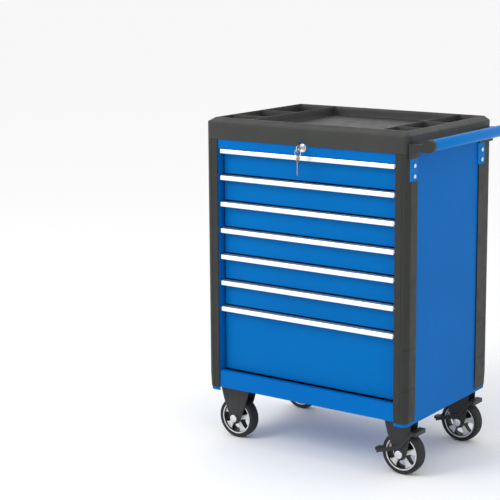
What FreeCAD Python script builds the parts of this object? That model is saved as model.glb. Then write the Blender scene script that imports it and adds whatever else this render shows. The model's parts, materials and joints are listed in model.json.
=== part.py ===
import FreeCAD, Part
import math
import os

# Rolling tool box: a folded steel cabinet with seven drawers, black plastic corner
# posts and top tray, a push handle on the right side and four casters.
# Millimetres. +X is to the right of somebody facing the drawers, +Y goes back, +Z up.

# ---- Overall sizes -------------------------------------------------------------
CABINET_WIDTH = 685.0
CABINET_DEPTH = 490.0
POST_SKIN = 4.0
POST_CORNER_RADIUS = 20.0
SHEET = 1.2
ASSEMBLY_GAP = 0.1

# ---- Levels of the cabinet -----------------------------------------------------
WHEEL_RADIUS = 62.5
CASTER_HEADROOM = 44.0
SKIRT_DROP = 12.0
BASE_RAIL_HEIGHT = 52.0
RAIL_TO_DRAWER_GAP = 3.0

# ---- Drawers -------------------------------------------------------------------
DRAWER_COUNT = 7
DRAWER_PITCH = 79.0
DEEP_FRONT_HEIGHT = 192.0
STRIP_HEIGHT = 14.0
STRIP_DEPTH = 22.0
STRIP_WALL = 2.0
STRIP_GAP = 4.0
FRONT_RECESS = 24.0
FRONT_SIDE_GAP = 6.0
FRONT_FOLD = 12.0
FRONT_TOP_TO_STRIP_TOP = 2.1
BOX_FLOOR_RISE = 4.0
BOX_WALL_DROP = 5.0
BOX_REAR_ROOM = 36.0

# ---- Slides --------------------------------------------------------------------
SLIDE_ROOM = 20.5
CHANNEL_DEPTH = 12.5
CHANNEL_HEIGHT = 35.0
SLIDE_CLEARANCE = 1.0
SLIDE_RISE = 24.0
SLIDE_FRONT_GAP = 2.0
CHANNEL_REAR_ROOM = 26.0

# ---- Folds of the cabinet shell ------------------------------------------------
COLUMN_WIDTH = 38.0
COLUMN_RETURN = 60.0
BACK_FOLD = 20.0
RAIL_FOLD = 15.0
TOP_RAIL_HEIGHT = 50.0
STRIP_TO_RAIL_GAP = 1.0
RAIL_IN_FASCIA = 23.0

# ---- Corner posts --------------------------------------------------------------
POST_FOOT_RISE = 9.0
POST_FRONT_WING = 42.0
POST_SIDE_WING_FRONT = 52.0
POST_SIDE_WING_REAR = 78.0
POST_TAPER = 2.5
POST_TAPER_HEIGHT = 40.0

# ---- Top tray ------------------------------------------------------------------
TRAY_HEIGHT = 61.0
TRAY_WALL = 3.0
BEVEL_HEIGHT = 11.0
BEVEL_FRONT = 28.0
BEVEL_SIDE = 19.0
BEVEL_REAR = 15.0
TRAY_RIDGE = 2.5
CENTRE_DEPTH = 27.0
BIN_DEPTH = 35.0
LEFT_BIN_WIDTH = 126.0
RIGHT_BIN_WIDTH = 78.0
FRONT_BIN_LENGTH = 80.0
MIDDLE_BIN_LENGTH = 149.0
TRAY_FILLET = 6.0

# ---- Push handle ---------------------------------------------------------------
HANDLE_REACH = 60.0
TUBE_RADIUS = 16.0
TUBE_WALL = 1.5
HANDLE_BELOW_TOP = 34.0
CAP_WALL = 1.5
CAP_LENGTH = 18.0
CAP_END = 3.0
ARM_ABOVE_TUBE = 3.0
ARM_BELOW_TUBE = 17.0
ARM_THICK = 12.0
ARM_FOOT_HEIGHT = 42.0
ARM_FOOT_THICK = 4.0
PLATE_WIDTH = 40.0
PLATE_HEIGHT = 74.0
PLATE_FRONT_INSET = 31.0
PLATE_REAR_INSET = 63.0
PLATE_BOLT_LOW = 13.0
PLATE_BOLT_SPACING = 29.0
HANDLE_BOLT_RADIUS = 3.0
HANDLE_BOLT_HEAD_RADIUS = 6.0
HANDLE_BOLT_HEAD = 3.5

# ---- Lock ----------------------------------------------------------------------
LOCK_X = 0.0
LOCK_ABOVE_STRIP = 30.0
LOCK_FLANGE_RADIUS = 12.0
LOCK_FLANGE = 4.0
LOCK_BARREL_RADIUS = 9.5
LOCK_BARREL = 24.0
LOCK_NOTCH_RADIUS = 16.0
PLUG_RADIUS = 6.0
PLUG_CLEARANCE = 0.05
CAM_REACH = 13.0
CAM_HALF_WIDTH = 4.0
CAM_THICK = 2.0
LOCK_SHIFT = 12.0
KEY_THICK = 2.2
KEY_BLADE = 8.0
KEY_BOW_RADIUS = 11.0
KEY_SHANK = 8.0
KEY_HOLE_RADIUS = 2.5
RING_RADIUS = 10.0
RING_WIRE = 0.8
LOCK_BAR_WIDTH = 24.0
LOCK_BAR_THICK = 3.0
CATCH_WIDTH = 16.0
CATCH_REACH = 17.0
CATCH_LIP = 10.0
HOOK_GAP = 2.0
HOOK_HEIGHT = 8.0
ARM_OF_BAR_HEIGHT = 20.0

# ---- Casters -------------------------------------------------------------------
FIXED_CASTER_INSET = 62.5
SWIVEL_CASTER_INSET = 67.5
CASTER_END_INSET = 71.0
CASTER_TRAIL = 22.0
CASTER_PLATE_X = 108.0
CASTER_PLATE_Y = 90.0
CASTER_PLATE = 3.0
CASTER_BOLT_X = 40.0
CASTER_BOLT_Y = 35.0
CASTER_BOLT_RADIUS = 4.0
CASTER_BOLT_HEAD_RADIUS = 7.0
CASTER_BOLT_HEAD = 5.0
BOLT_CLEARANCE = 0.1
TYRE_WIDTH = 36.0
TYRE_SHOULDER = 7.0
TYRE_WALL = 12.5
RIM_EDGE = 5.0
RIM_WIDTH = 33.0
RIM_WEB = 14.0
RIM_HOLES = 5
RIM_HOLE_MARGIN = 5.5
HUB_RADIUS = 13.0
HUB_WIDTH = 38.0
AXLE_RADIUS = 5.0
AXLE_CLEARANCE = 0.05
AXLE_HEAD_RADIUS = 11.5
AXLE_HEAD = 9.0
FORK_SHEET = 3.0
FORK_SIDE_GAP = 2.0
FIXED_FORK_HALF = 54.0
SWIVEL_FORK_FORE = 29.0
SWIVEL_FORK_AFT = 55.0
FORK_FOOT_RADIUS = 16.0
RACE_RADIUS = 31.0
RACE_HEIGHT = 5.0
SWIVEL_GAP = 1.5
CROWN_RADIUS = 31.0
CROWN_HEIGHT = 8.0
KINGPIN_RADIUS = 7.0
KINGPIN_HEAD_RADIUS = 11.0
KINGPIN_HEAD = 3.0
BRAKE_SHEET = 3.0
BRAKE_GAP = 1.0
BRAKE_STRAP = 14.0
BRAKE_PIVOT_RISE = 20.0
BRAKE_STUD_RADIUS = 4.0
BRAKE_PEDAL_X = 37.0
BRAKE_PEDAL_OVER_TYRE = 1.0
BRAKE_PEDAL_LENGTH = 19.0
BRAKE_PEDAL_HEIGHT = 16.0
BRAKE_TAB_CLEAR = 8.5
BRAKE_TAB_DROP = 4.0
BRAKE_TAB_LENGTH = 17.0
BRAKE_TAB_HALF_WIDTH = 12.0

# ---- Worked-out places ---------------------------------------------------------
HALF_WIDTH = CABINET_WIDTH / 2
HALF_DEPTH = CABINET_DEPTH / 2
BODY_X = HALF_WIDTH - POST_SKIN
BODY_Y = HALF_DEPTH - POST_SKIN
BODY_RADIUS = POST_CORNER_RADIUS - POST_SKIN
OPENING_X = BODY_X - COLUMN_WIDTH
BASE_Z = 2 * WHEEL_RADIUS + CASTER_HEADROOM
FLOOR_TOP_Z = BASE_Z + SHEET
SKIRT_Z = BASE_Z - SKIRT_DROP
BASE_RAIL_TOP_Z = BASE_Z + BASE_RAIL_HEIGHT
LOWEST_FRONT_Z = BASE_RAIL_TOP_Z + RAIL_TO_DRAWER_GAP
LOWEST_STRIP_TOP_Z = LOWEST_FRONT_Z + DEEP_FRONT_HEIGHT + FRONT_TOP_TO_STRIP_TOP
TOP_STRIP_TOP_Z = LOWEST_STRIP_TOP_Z + (DRAWER_COUNT - 1) * DRAWER_PITCH
TOP_RAIL_Z = TOP_STRIP_TOP_Z + STRIP_TO_RAIL_GAP
BODY_TOP_Z = TOP_RAIL_Z + TOP_RAIL_HEIGHT
TRAY_Z = BODY_TOP_Z - RAIL_IN_FASCIA
TOP_Z = TRAY_Z + TRAY_HEIGHT
POST_Z = SKIRT_Z + POST_FOOT_RISE
FRONT_Y = -HALF_DEPTH + POST_SKIN + FRONT_RECESS
FRONT_X = OPENING_X - FRONT_SIDE_GAP
STRIP_Y = FRONT_Y - STRIP_DEPTH
BOX_X = OPENING_X - SLIDE_ROOM
BOX_REAR_Y = BODY_Y - BOX_REAR_ROOM
SLIDE_Y = FRONT_Y + FRONT_FOLD + SLIDE_FRONT_GAP
CHANNEL_REAR_Y = BODY_Y - CHANNEL_REAR_ROOM
PLATE_FRONT_Y = -HALF_DEPTH + PLATE_FRONT_INSET
PLATE_REAR_Y = HALF_DEPTH - PLATE_REAR_INSET
TUBE_X = HALF_WIDTH + HANDLE_REACH
TUBE_Z = TOP_Z - HANDLE_BELOW_TOP
TUBE_OUTER_X = TUBE_X + TUBE_RADIUS + CAP_WALL
LOCK_Z = TOP_STRIP_TOP_Z - STRIP_HEIGHT / 2 + LOCK_ABOVE_STRIP
LOCK_BAR_Y = BOX_REAR_Y + CATCH_REACH + HOOK_GAP
CAM_Y = -BODY_Y + LOCK_BARREL + HOOK_GAP
ARM_OF_BAR_X = LOCK_X - PLUG_RADIUS - HOOK_GAP / 2
HOOK_X = CATCH_WIDTH / 2 + HOOK_GAP
KEY_BOW_Y = -BODY_Y - LOCK_FLANGE - KEY_SHANK - KEY_BOW_RADIUS
RING_Y = KEY_BOW_Y - KEY_BOW_RADIUS / 3
RING_TOP_Z = LOCK_Z - KEY_HOLE_RADIUS + RING_WIRE + 3 * ASSEMBLY_GAP
FIXED_X = -HALF_WIDTH + FIXED_CASTER_INSET
SWIVEL_X = HALF_WIDTH - SWIVEL_CASTER_INSET
CASTER_Y = HALF_DEPTH - CASTER_END_INSET
RIM_RADIUS = WHEEL_RADIUS - TYRE_WALL
RIM_HOLE_CIRCLE = (RIM_RADIUS - RIM_EDGE + HUB_RADIUS) / 2
RIM_HOLE_RADIUS = (RIM_RADIUS - RIM_EDGE - HUB_RADIUS) / 2 - RIM_HOLE_MARGIN
AXLE_Z = WHEEL_RADIUS
LEG_INNER = HUB_WIDTH / 2 + FORK_SIDE_GAP
LEG_OUTER = LEG_INNER + FORK_SHEET
RACE_Z = BASE_Z - CASTER_PLATE - RACE_HEIGHT
CROWN_Z = RACE_Z - SWIVEL_GAP
BRAKE_INNER = LEG_OUTER + BRAKE_GAP
BRAKE_OUTER = BRAKE_INNER + BRAKE_SHEET
BRAKE_PIVOT_Z = AXLE_Z + BRAKE_PIVOT_RISE
BRAKE_PEDAL_Z = AXLE_Z + WHEEL_RADIUS + BRAKE_PEDAL_OVER_TYRE
BRAKE_TAB_X = WHEEL_RADIUS + BRAKE_TAB_CLEAR
BRAKE_TAB_Z = AXLE_Z - BRAKE_TAB_DROP
# The origin is under the middle of the whole object, handle and key included.
KEY_FRONT_Y = KEY_BOW_Y - KEY_BOW_RADIUS
HANDLE_REAR_Y = HALF_DEPTH + CAP_END
ROW_SHIFT = FreeCAD.Vector(-(TUBE_OUTER_X - HALF_WIDTH) / 2, -(KEY_FRONT_Y + HANDLE_REAR_Y) / 2, 0)

ALONG_X = FreeCAD.Vector(1, 0, 0)
ALONG_Y = FreeCAD.Vector(0, 1, 0)
ALONG_Z = FreeCAD.Vector(0, 0, 1)


def vec(x, y, z):
    return FreeCAD.Vector(x, y, z)


def block(x0, x1, y0, y1, z0, z1):
    """Box between two corners."""
    return Part.makeBox(x1 - x0, y1 - y0, z1 - z0, vec(x0, y0, z0))


def rod(radius, length, start, axis):
    """Round bar from a start point along an axis."""
    return Part.makeCylinder(radius, length, start, axis)


def prism(points, along):
    """Flat outline carried along a vector."""
    return Part.Face(Part.makePolygon(points + [points[0]])).extrude(along)


def upright_edges(shape):
    """Straight edges of a shape that stand vertically."""
    found = []
    for edge in shape.Edges:
        low, high = edge.Vertexes[0].Point, edge.Vertexes[-1].Point
        if abs(low.x - high.x) < 1e-6 and abs(low.y - high.y) < 1e-6:
            found.append(edge)
    return found


def rounded_block(half_x, half_y, z0, z1, radius):
    """Centred box with its four upright edges rounded."""
    plain = block(-half_x, half_x, -half_y, half_y, z0, z1)
    return plain.makeFillet(radius, upright_edges(plain))


def rounded_pocket(x0, x1, y0, y1, z0, z1, radius):
    """Cutting tool with rounded upright edges and a rounded lower rim."""
    tool = block(x0, x1, y0, y1, z0, z1)
    tool = tool.makeFillet(radius, upright_edges(tool))
    rim = [edge for edge in tool.Edges if abs(edge.BoundBox.ZMax - z0) < 1e-6]
    return tool.makeFillet(radius / 2, rim)


def fused(first, *others):
    """One welded solid."""
    return first.fuse(list(others)).removeSplitter()


def mirrored_x(shape):
    return shape.mirror(vec(0, 0, 0), ALONG_X)


def mirrored_y(shape):
    return shape.mirror(vec(0, 0, 0), ALONG_Y)


def hex_head(radius, height, start, axis):
    """Six-sided bolt head whose corners lie on the radius."""
    corners = []
    for step in range(6):
        angle = step * math.pi / 3
        if abs(axis.z) > 0.5:
            corners.append(start + vec(radius * math.cos(angle), radius * math.sin(angle), 0))
        else:
            corners.append(start + vec(radius * math.cos(angle), 0, radius * math.sin(angle)))
    return prism(corners, axis * height)


def save(name, *solids):
    """Write one node, shifted into the object's frame."""
    shape = solids[0] if len(solids) == 1 else Part.makeCompound(list(solids))
    shape = shape.copy()
    shape.translate(ROW_SHIFT)
    shape.exportStep(os.path.join("parts", name + ".step"))


def strip_top(index):
    """Height of the top of a drawer's strip; drawer 1 is the highest."""
    return TOP_STRIP_TOP_Z - (index - 1) * DRAWER_PITCH


def front_low(index):
    """Height of the lower edge of a drawer front."""
    if index == DRAWER_COUNT:
        return LOWEST_FRONT_Z
    return strip_top(index + 1) + STRIP_GAP


def slide_z(index):
    """Height of the middle of a drawer's slides."""
    return front_low(index) + BOX_FLOOR_RISE + SLIDE_RISE


# ---- Cabinet shell -------------------------------------------------------------
def side_panel():
    """Right side sheet, folded round both corners into a front and a rear column."""
    outer = rounded_block(BODY_X, BODY_Y, SKIRT_Z, BODY_TOP_Z, BODY_RADIUS)
    inner = rounded_block(BODY_X - SHEET, BODY_Y - SHEET, SKIRT_Z, BODY_TOP_Z, BODY_RADIUS - SHEET)
    right = block(OPENING_X, BODY_X + 1, -BODY_Y - 1, BODY_Y + 1, SKIRT_Z, BODY_TOP_Z)
    sheet = outer.cut(inner).common(right)
    returns = []
    for y in (-BODY_Y, BODY_Y - COLUMN_RETURN):
        returns.append(block(OPENING_X, OPENING_X + SHEET, y, y + COLUMN_RETURN, FLOOR_TOP_Z, BODY_TOP_Z))
    return fused(sheet, *returns)


def handle_bolt_places():
    """Y and Z of the four bolts that hold the handle plates."""
    low_z = TRAY_Z - PLATE_HEIGHT + PLATE_BOLT_LOW
    return [(y, z) for y in (PLATE_FRONT_Y, PLATE_REAR_Y) for z in (low_z, low_z + PLATE_BOLT_SPACING)]


def side_panel_with_handle_holes():
    panel = side_panel()
    for y, z in handle_bolt_places():
        hole = rod(HANDLE_BOLT_RADIUS + BOLT_CLEARANCE, 4 * SHEET, vec(BODY_X - 2 * SHEET, y, z), ALONG_X)
        panel = panel.cut(hole)
    return panel


def back_panel():
    """Rear sheet between the columns, with a fold forward along each side."""
    half = OPENING_X - ASSEMBLY_GAP
    sheet = block(-half, half, BODY_Y - SHEET, BODY_Y, FLOOR_TOP_Z, BODY_TOP_Z)
    left = block(-half, -half + SHEET, BODY_Y - BACK_FOLD, BODY_Y, FLOOR_TOP_Z, BODY_TOP_Z)
    return fused(sheet, left, mirrored_x(left))


def caster_bolt_places():
    """X and Y of the four bolts of each caster."""
    places = []
    for cx in (FIXED_X, SWIVEL_X):
        for cy in (-CASTER_Y, CASTER_Y):
            for dx in (-CASTER_BOLT_X, CASTER_BOLT_X):
                for dy in (-CASTER_BOLT_Y, CASTER_BOLT_Y):
                    places.append((cx + dx, cy + dy))
    return places


def base_pan():
    """Floor sheet with the front rail folded up from it."""
    inset = SHEET + ASSEMBLY_GAP
    floor = rounded_block(BODY_X - inset, BODY_Y - inset, BASE_Z, FLOOR_TOP_Z, BODY_RADIUS - SHEET)
    half = OPENING_X - ASSEMBLY_GAP
    rail = block(-half, half, -BODY_Y, -BODY_Y + SHEET, BASE_Z, BASE_RAIL_TOP_Z)
    foot = block(-half, half, -BODY_Y, -BODY_Y + RAIL_FOLD, BASE_Z, FLOOR_TOP_Z)
    ledge = block(-half, half, -BODY_Y, -BODY_Y + RAIL_FOLD, BASE_RAIL_TOP_Z - SHEET, BASE_RAIL_TOP_Z)
    pan = fused(floor, foot, rail, ledge)
    for x, y in caster_bolt_places():
        pan = pan.cut(rod(CASTER_BOLT_RADIUS + BOLT_CLEARANCE, 3 * SHEET, vec(x, y, BASE_Z - SHEET), ALONG_Z))
    return pan


def top_rail():
    """Front rail over the drawers, folded back along both edges, bored for the lock."""
    half = OPENING_X - ASSEMBLY_GAP
    face = block(-half, half, -BODY_Y, -BODY_Y + SHEET, TOP_RAIL_Z, BODY_TOP_Z)
    low = block(-half, half, -BODY_Y, -BODY_Y + RAIL_FOLD, TOP_RAIL_Z, TOP_RAIL_Z + SHEET)
    high = block(-half, half, -BODY_Y, -BODY_Y + RAIL_FOLD, BODY_TOP_Z - SHEET, BODY_TOP_Z)
    rail = fused(face, low, high)
    bore = rod(LOCK_BARREL_RADIUS + ASSEMBLY_GAP, 4 * SHEET, vec(LOCK_X, -BODY_Y - SHEET, LOCK_Z), ALONG_Y)
    return rail.cut(bore)


def corner_post(side, end, notched):
    """Moulded corner post; side is -1 left or 1 right, end is -1 front or 1 rear."""
    outer = rounded_block(HALF_WIDTH, HALF_DEPTH, POST_Z, TRAY_Z, POST_CORNER_RADIUS)
    inner_radius = BODY_RADIUS + ASSEMBLY_GAP
    inner_x, inner_y = BODY_X + ASSEMBLY_GAP, BODY_Y + ASSEMBLY_GAP
    shell = outer.cut(rounded_block(inner_x, inner_y, POST_Z, TRAY_Z, inner_radius))
    wing = POST_SIDE_WING_FRONT if end < 0 else POST_SIDE_WING_REAR
    post = shell.common(
        block(HALF_WIDTH - POST_FRONT_WING, HALF_WIDTH + 1,
              -HALF_DEPTH - 1, wing - HALF_DEPTH, POST_Z, TRAY_Z)
    )
    slope_x = [
        vec(HALF_WIDTH - POST_TAPER, -HALF_DEPTH - 1, POST_Z),
        vec(HALF_WIDTH + 1, -HALF_DEPTH - 1, POST_Z),
        vec(HALF_WIDTH + 1, -HALF_DEPTH - 1, POST_Z + POST_TAPER_HEIGHT * (1 + 1 / POST_TAPER)),
    ]
    slope_y = [
        vec(0, -HALF_DEPTH + POST_TAPER, POST_Z),
        vec(0, -HALF_DEPTH - 1, POST_Z),
        vec(0, -HALF_DEPTH - 1, POST_Z + POST_TAPER_HEIGHT * (1 + 1 / POST_TAPER)),
    ]
    post = post.cut(prism(slope_x, vec(0, HALF_DEPTH, 0)))
    post = post.cut(prism(slope_y, vec(2 * HALF_WIDTH, 0, 0)))
    if notched:
        plate_y = PLATE_FRONT_Y if end < 0 else -PLATE_REAR_Y
        near_y = plate_y - PLATE_WIDTH / 2 - ASSEMBLY_GAP
        low_z = TRAY_Z - PLATE_HEIGHT - ASSEMBLY_GAP
        post = post.cut(block(BODY_X - 1, HALF_WIDTH + 1, near_y, 0, low_z, TRAY_Z))
    if end > 0:
        post = mirrored_y(post)
    if side < 0:
        post = mirrored_x(post)
    return post


# ---- Top tray ------------------------------------------------------------------
def bin_columns():
    """X limits of the left bins, the central tray and the right bins."""
    inner = HALF_WIDTH - BEVEL_SIDE - TRAY_RIDGE
    left = (-inner, -inner + LEFT_BIN_WIDTH)
    right = (inner - RIGHT_BIN_WIDTH, inner)
    return left, (left[1] + TRAY_RIDGE, right[0] - TRAY_RIDGE), right


def bin_rows():
    """Y limits of the front, middle and rear bins."""
    front = -HALF_DEPTH + BEVEL_FRONT + TRAY_RIDGE
    rear = HALF_DEPTH - BEVEL_REAR - TRAY_RIDGE
    first_wall = front + FRONT_BIN_LENGTH
    second_wall = first_wall + TRAY_RIDGE + MIDDLE_BIN_LENGTH
    return [(front, first_wall), (first_wall + TRAY_RIDGE, second_wall), (second_wall + TRAY_RIDGE, rear)]


def top_tray():
    """Moulded top with bevelled edges, a central tray and three bins each side."""
    tray = rounded_block(HALF_WIDTH, HALF_DEPTH, TRAY_Z, TOP_Z, POST_CORNER_RADIUS)
    low = TOP_Z - BEVEL_HEIGHT
    front = [vec(-HALF_WIDTH - 1, -HALF_DEPTH, low), vec(-HALF_WIDTH - 1, -HALF_DEPTH + BEVEL_FRONT, TOP_Z)]
    front.append(vec(-HALF_WIDTH - 1, -HALF_DEPTH, TOP_Z))
    rear = [vec(-HALF_WIDTH - 1, HALF_DEPTH, low), vec(-HALF_WIDTH - 1, HALF_DEPTH - BEVEL_REAR, TOP_Z)]
    rear.append(vec(-HALF_WIDTH - 1, HALF_DEPTH, TOP_Z))
    side = [vec(HALF_WIDTH, -HALF_DEPTH - 1, low), vec(HALF_WIDTH - BEVEL_SIDE, -HALF_DEPTH - 1, TOP_Z)]
    side.append(vec(HALF_WIDTH, -HALF_DEPTH - 1, TOP_Z))
    side_wedge = prism(side, vec(0, CABINET_DEPTH + 2, 0))
    for wedge in (prism(front, vec(CABINET_WIDTH + 2, 0, 0)), prism(rear, vec(CABINET_WIDTH + 2, 0, 0))):
        tray = tray.cut(wedge)
    tray = tray.cut(side_wedge).cut(mirrored_x(side_wedge))

    inner_x, inner_y = BODY_X + ASSEMBLY_GAP, BODY_Y + ASSEMBLY_GAP
    hollow = rounded_block(inner_x, inner_y, TRAY_Z, BODY_TOP_Z, BODY_RADIUS + ASSEMBLY_GAP)
    tray = tray.cut(hollow)
    left, centre, right = bin_columns()
    rows = bin_rows()
    centre_floor = TOP_Z - CENTRE_DEPTH
    under_x0, under_x1 = centre[0] + TRAY_WALL, centre[1] - TRAY_WALL
    under_y0, under_y1 = rows[0][0] + TRAY_WALL, rows[-1][1] - TRAY_WALL
    tray = tray.cut(block(under_x0, under_x1, under_y0, under_y1, TRAY_Z, centre_floor - TRAY_WALL))
    open_top = TOP_Z + TRAY_FILLET
    tray = tray.cut(rounded_pocket(*centre, rows[0][0], rows[-1][1], centre_floor, open_top, TRAY_FILLET))
    for column in (left, right):
        for row in rows:
            tray = tray.cut(rounded_pocket(*column, *row, TOP_Z - BIN_DEPTH, open_top, TRAY_FILLET))
    notch = rod(LOCK_NOTCH_RADIUS, 2 * POST_SKIN, vec(LOCK_X, -HALF_DEPTH - 1, LOCK_Z), ALONG_Y)
    return tray.cut(notch)


# ---- Drawers -------------------------------------------------------------------
def drawer_box(index):
    """Drawer of folded sheet: front with turned edges, floor, sides, back and catch."""
    low = front_low(index)
    front_top = strip_top(index) - FRONT_TOP_TO_STRIP_TOP
    floor_z = low + BOX_FLOOR_RISE
    wall_top = front_top - BOX_WALL_DROP
    front_back = FRONT_Y + SHEET
    face = block(-FRONT_X, FRONT_X, FRONT_Y, front_back, low, front_top)
    edge = block(FRONT_X - SHEET, FRONT_X, FRONT_Y, FRONT_Y + FRONT_FOLD, low, front_top)
    hem = block(-FRONT_X, FRONT_X, FRONT_Y, FRONT_Y + FRONT_FOLD, low, low + SHEET)
    floor = block(-BOX_X, BOX_X, FRONT_Y, BOX_REAR_Y, floor_z, floor_z + SHEET)
    wall = block(BOX_X - SHEET, BOX_X, FRONT_Y, BOX_REAR_Y, floor_z, wall_top)
    back = block(-BOX_X, BOX_X, BOX_REAR_Y - SHEET, BOX_REAR_Y, floor_z, wall_top)
    catch_z = floor_z + SLIDE_RISE
    half = CATCH_WIDTH / 2
    reach_y = BOX_REAR_Y + CATCH_REACH
    catch = block(-half, half, BOX_REAR_Y - SHEET, reach_y, catch_z, catch_z + SHEET)
    lip = block(-half, half, reach_y - SHEET, reach_y, catch_z - CATCH_LIP, catch_z + SHEET)
    return fused(face, edge, mirrored_x(edge), hem, floor, wall, mirrored_x(wall), back, catch, lip)


def drawer_strip(index):
    """Extruded grip strip over the top edge of a drawer front."""
    top = strip_top(index)
    low = top - STRIP_HEIGHT
    lip = block(-FRONT_X, FRONT_X, STRIP_Y, STRIP_Y + STRIP_WALL, low, top)
    web = block(-FRONT_X, FRONT_X, STRIP_Y, FRONT_Y + SHEET, top - STRIP_WALL, top)
    seat = block(-FRONT_X, FRONT_X, FRONT_Y - STRIP_WALL, FRONT_Y, low, top)
    return fused(lip, web, seat)


def drawer_runner(index):
    """Runner screwed to the right wall of a drawer."""
    middle = slide_z(index)
    half = CHANNEL_HEIGHT / 2 - SHEET - SLIDE_CLEARANCE
    outer_x = OPENING_X - SHEET - SLIDE_CLEARANCE
    web = block(BOX_X, BOX_X + SHEET, SLIDE_Y, BOX_REAR_Y, middle - half, middle + half)
    flange = block(BOX_X, outer_x, SLIDE_Y, BOX_REAR_Y, middle + half - SHEET, middle + half)
    lower = block(BOX_X, outer_x, SLIDE_Y, BOX_REAR_Y, middle - half, middle - half + SHEET)
    return fused(web, flange, lower)


def slide_channel(index):
    """Channel fixed between the right-hand columns, in which a runner slides."""
    middle = slide_z(index)
    half = CHANNEL_HEIGHT / 2
    outer = block(OPENING_X - CHANNEL_DEPTH, OPENING_X, SLIDE_Y, CHANNEL_REAR_Y, middle - half, middle + half)
    room = block(OPENING_X - CHANNEL_DEPTH - 1, OPENING_X - SHEET, SLIDE_Y - 1, CHANNEL_REAR_Y + 1,
                 middle - half + SHEET, middle + half - SHEET)
    return outer.cut(room)


# ---- Push handle ---------------------------------------------------------------
def handle_tube():
    length = CABINET_DEPTH
    start = vec(TUBE_X, -length / 2, TUBE_Z)
    return rod(TUBE_RADIUS, length, start, ALONG_Y).cut(rod(TUBE_RADIUS - TUBE_WALL, length, start, ALONG_Y))


def handle_arm(end):
    """Moulded arm with a cup over the tube's end; end is -1 front or 1 rear."""
    tube_end = CABINET_DEPTH / 2
    cup_start = vec(TUBE_X, -tube_end - CAP_END, TUBE_Z)
    cup = rod(TUBE_RADIUS + CAP_WALL, CAP_LENGTH, cup_start, ALONG_Y)
    root_y = -tube_end - CAP_END + CAP_LENGTH / 2
    beam = block(HALF_WIDTH, TUBE_X, root_y - ARM_THICK / 2, root_y + ARM_THICK / 2,
                 TUBE_Z - ARM_BELOW_TUBE, TUBE_Z + ARM_ABOVE_TUBE)
    plate_y = PLATE_FRONT_Y if end < 0 else -PLATE_REAR_Y
    foot_y0 = min(root_y - ARM_THICK / 2, plate_y - PLATE_WIDTH / 2)
    foot_top = TUBE_Z + ARM_ABOVE_TUBE
    foot = block(HALF_WIDTH, HALF_WIDTH + ARM_FOOT_THICK, foot_y0, plate_y + PLATE_WIDTH / 2,
                 foot_top - ARM_FOOT_HEIGHT, foot_top)
    bore = rod(TUBE_RADIUS + ASSEMBLY_GAP / 2, CAP_LENGTH, vec(TUBE_X, -tube_end, TUBE_Z), ALONG_Y)
    arm = fused(foot, beam, cup).cut(bore)
    return mirrored_y(arm) if end > 0 else arm


def handle_plate(middle_y):
    """Steel plate bolted to the side panel, under the arm's foot."""
    plate = block(BODY_X, HALF_WIDTH, middle_y - PLATE_WIDTH / 2, middle_y + PLATE_WIDTH / 2,
                  TRAY_Z - PLATE_HEIGHT, TRAY_Z)
    for y, z in handle_bolt_places():
        hole = rod(HANDLE_BOLT_RADIUS + BOLT_CLEARANCE, 2 * POST_SKIN, vec(BODY_X - 1, y, z), ALONG_X)
        plate = plate.cut(hole)
    return plate


def handle_bolt(y, z):
    shank_length = POST_SKIN + SHEET + HANDLE_BOLT_HEAD
    shank = rod(HANDLE_BOLT_RADIUS, shank_length, vec(HALF_WIDTH - shank_length, y, z), ALONG_X)
    head = rod(HANDLE_BOLT_HEAD_RADIUS, HANDLE_BOLT_HEAD, vec(HALF_WIDTH, y, z), ALONG_X)
    return fused(shank, head)


# ---- Lock ----------------------------------------------------------------------
def lock_housing():
    flange = rod(LOCK_FLANGE_RADIUS, LOCK_FLANGE, vec(LOCK_X, -BODY_Y - LOCK_FLANGE, LOCK_Z), ALONG_Y)
    barrel = rod(LOCK_BARREL_RADIUS, LOCK_BARREL, vec(LOCK_X, -BODY_Y, LOCK_Z), ALONG_Y)
    bore_start = vec(LOCK_X, -BODY_Y - LOCK_FLANGE - 1, LOCK_Z)
    bore = rod(PLUG_RADIUS + PLUG_CLEARANCE, LOCK_FLANGE + LOCK_BARREL + 2, bore_start, ALONG_Y)
    return fused(flange, barrel).cut(bore)


def key_blade():
    """Part of the key that stands in the plug, and the shank in front of it."""
    half = KEY_BLADE / 2
    return block(LOCK_X - KEY_THICK / 2, LOCK_X + KEY_THICK / 2, KEY_BOW_Y, -BODY_Y + LOCK_BARREL / 2,
                 LOCK_Z - half, LOCK_Z + half)


def lock_plug():
    """Plug with the cam on its tail; the cam points up while the drawers are free."""
    front = -BODY_Y - LOCK_FLANGE - HOOK_GAP / 4
    body = rod(PLUG_RADIUS, CAM_Y + CAM_THICK - front, vec(LOCK_X, front, LOCK_Z), ALONG_Y)
    reach = CAM_REACH - CAM_HALF_WIDTH
    cam = block(LOCK_X - CAM_HALF_WIDTH, LOCK_X + CAM_HALF_WIDTH, CAM_Y, CAM_Y + CAM_THICK,
                LOCK_Z, LOCK_Z + reach)
    nose = rod(CAM_HALF_WIDTH, CAM_THICK, vec(LOCK_X, CAM_Y, LOCK_Z + reach), ALONG_Y)
    half = KEY_BLADE / 2 + ASSEMBLY_GAP
    slot = block(LOCK_X - KEY_THICK / 2 - ASSEMBLY_GAP, LOCK_X + KEY_THICK / 2 + ASSEMBLY_GAP,
                 front - 1, -BODY_Y + LOCK_BARREL / 2 + ASSEMBLY_GAP, LOCK_Z - half, LOCK_Z + half)
    return fused(body, cam, nose).cut(slot)


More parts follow.
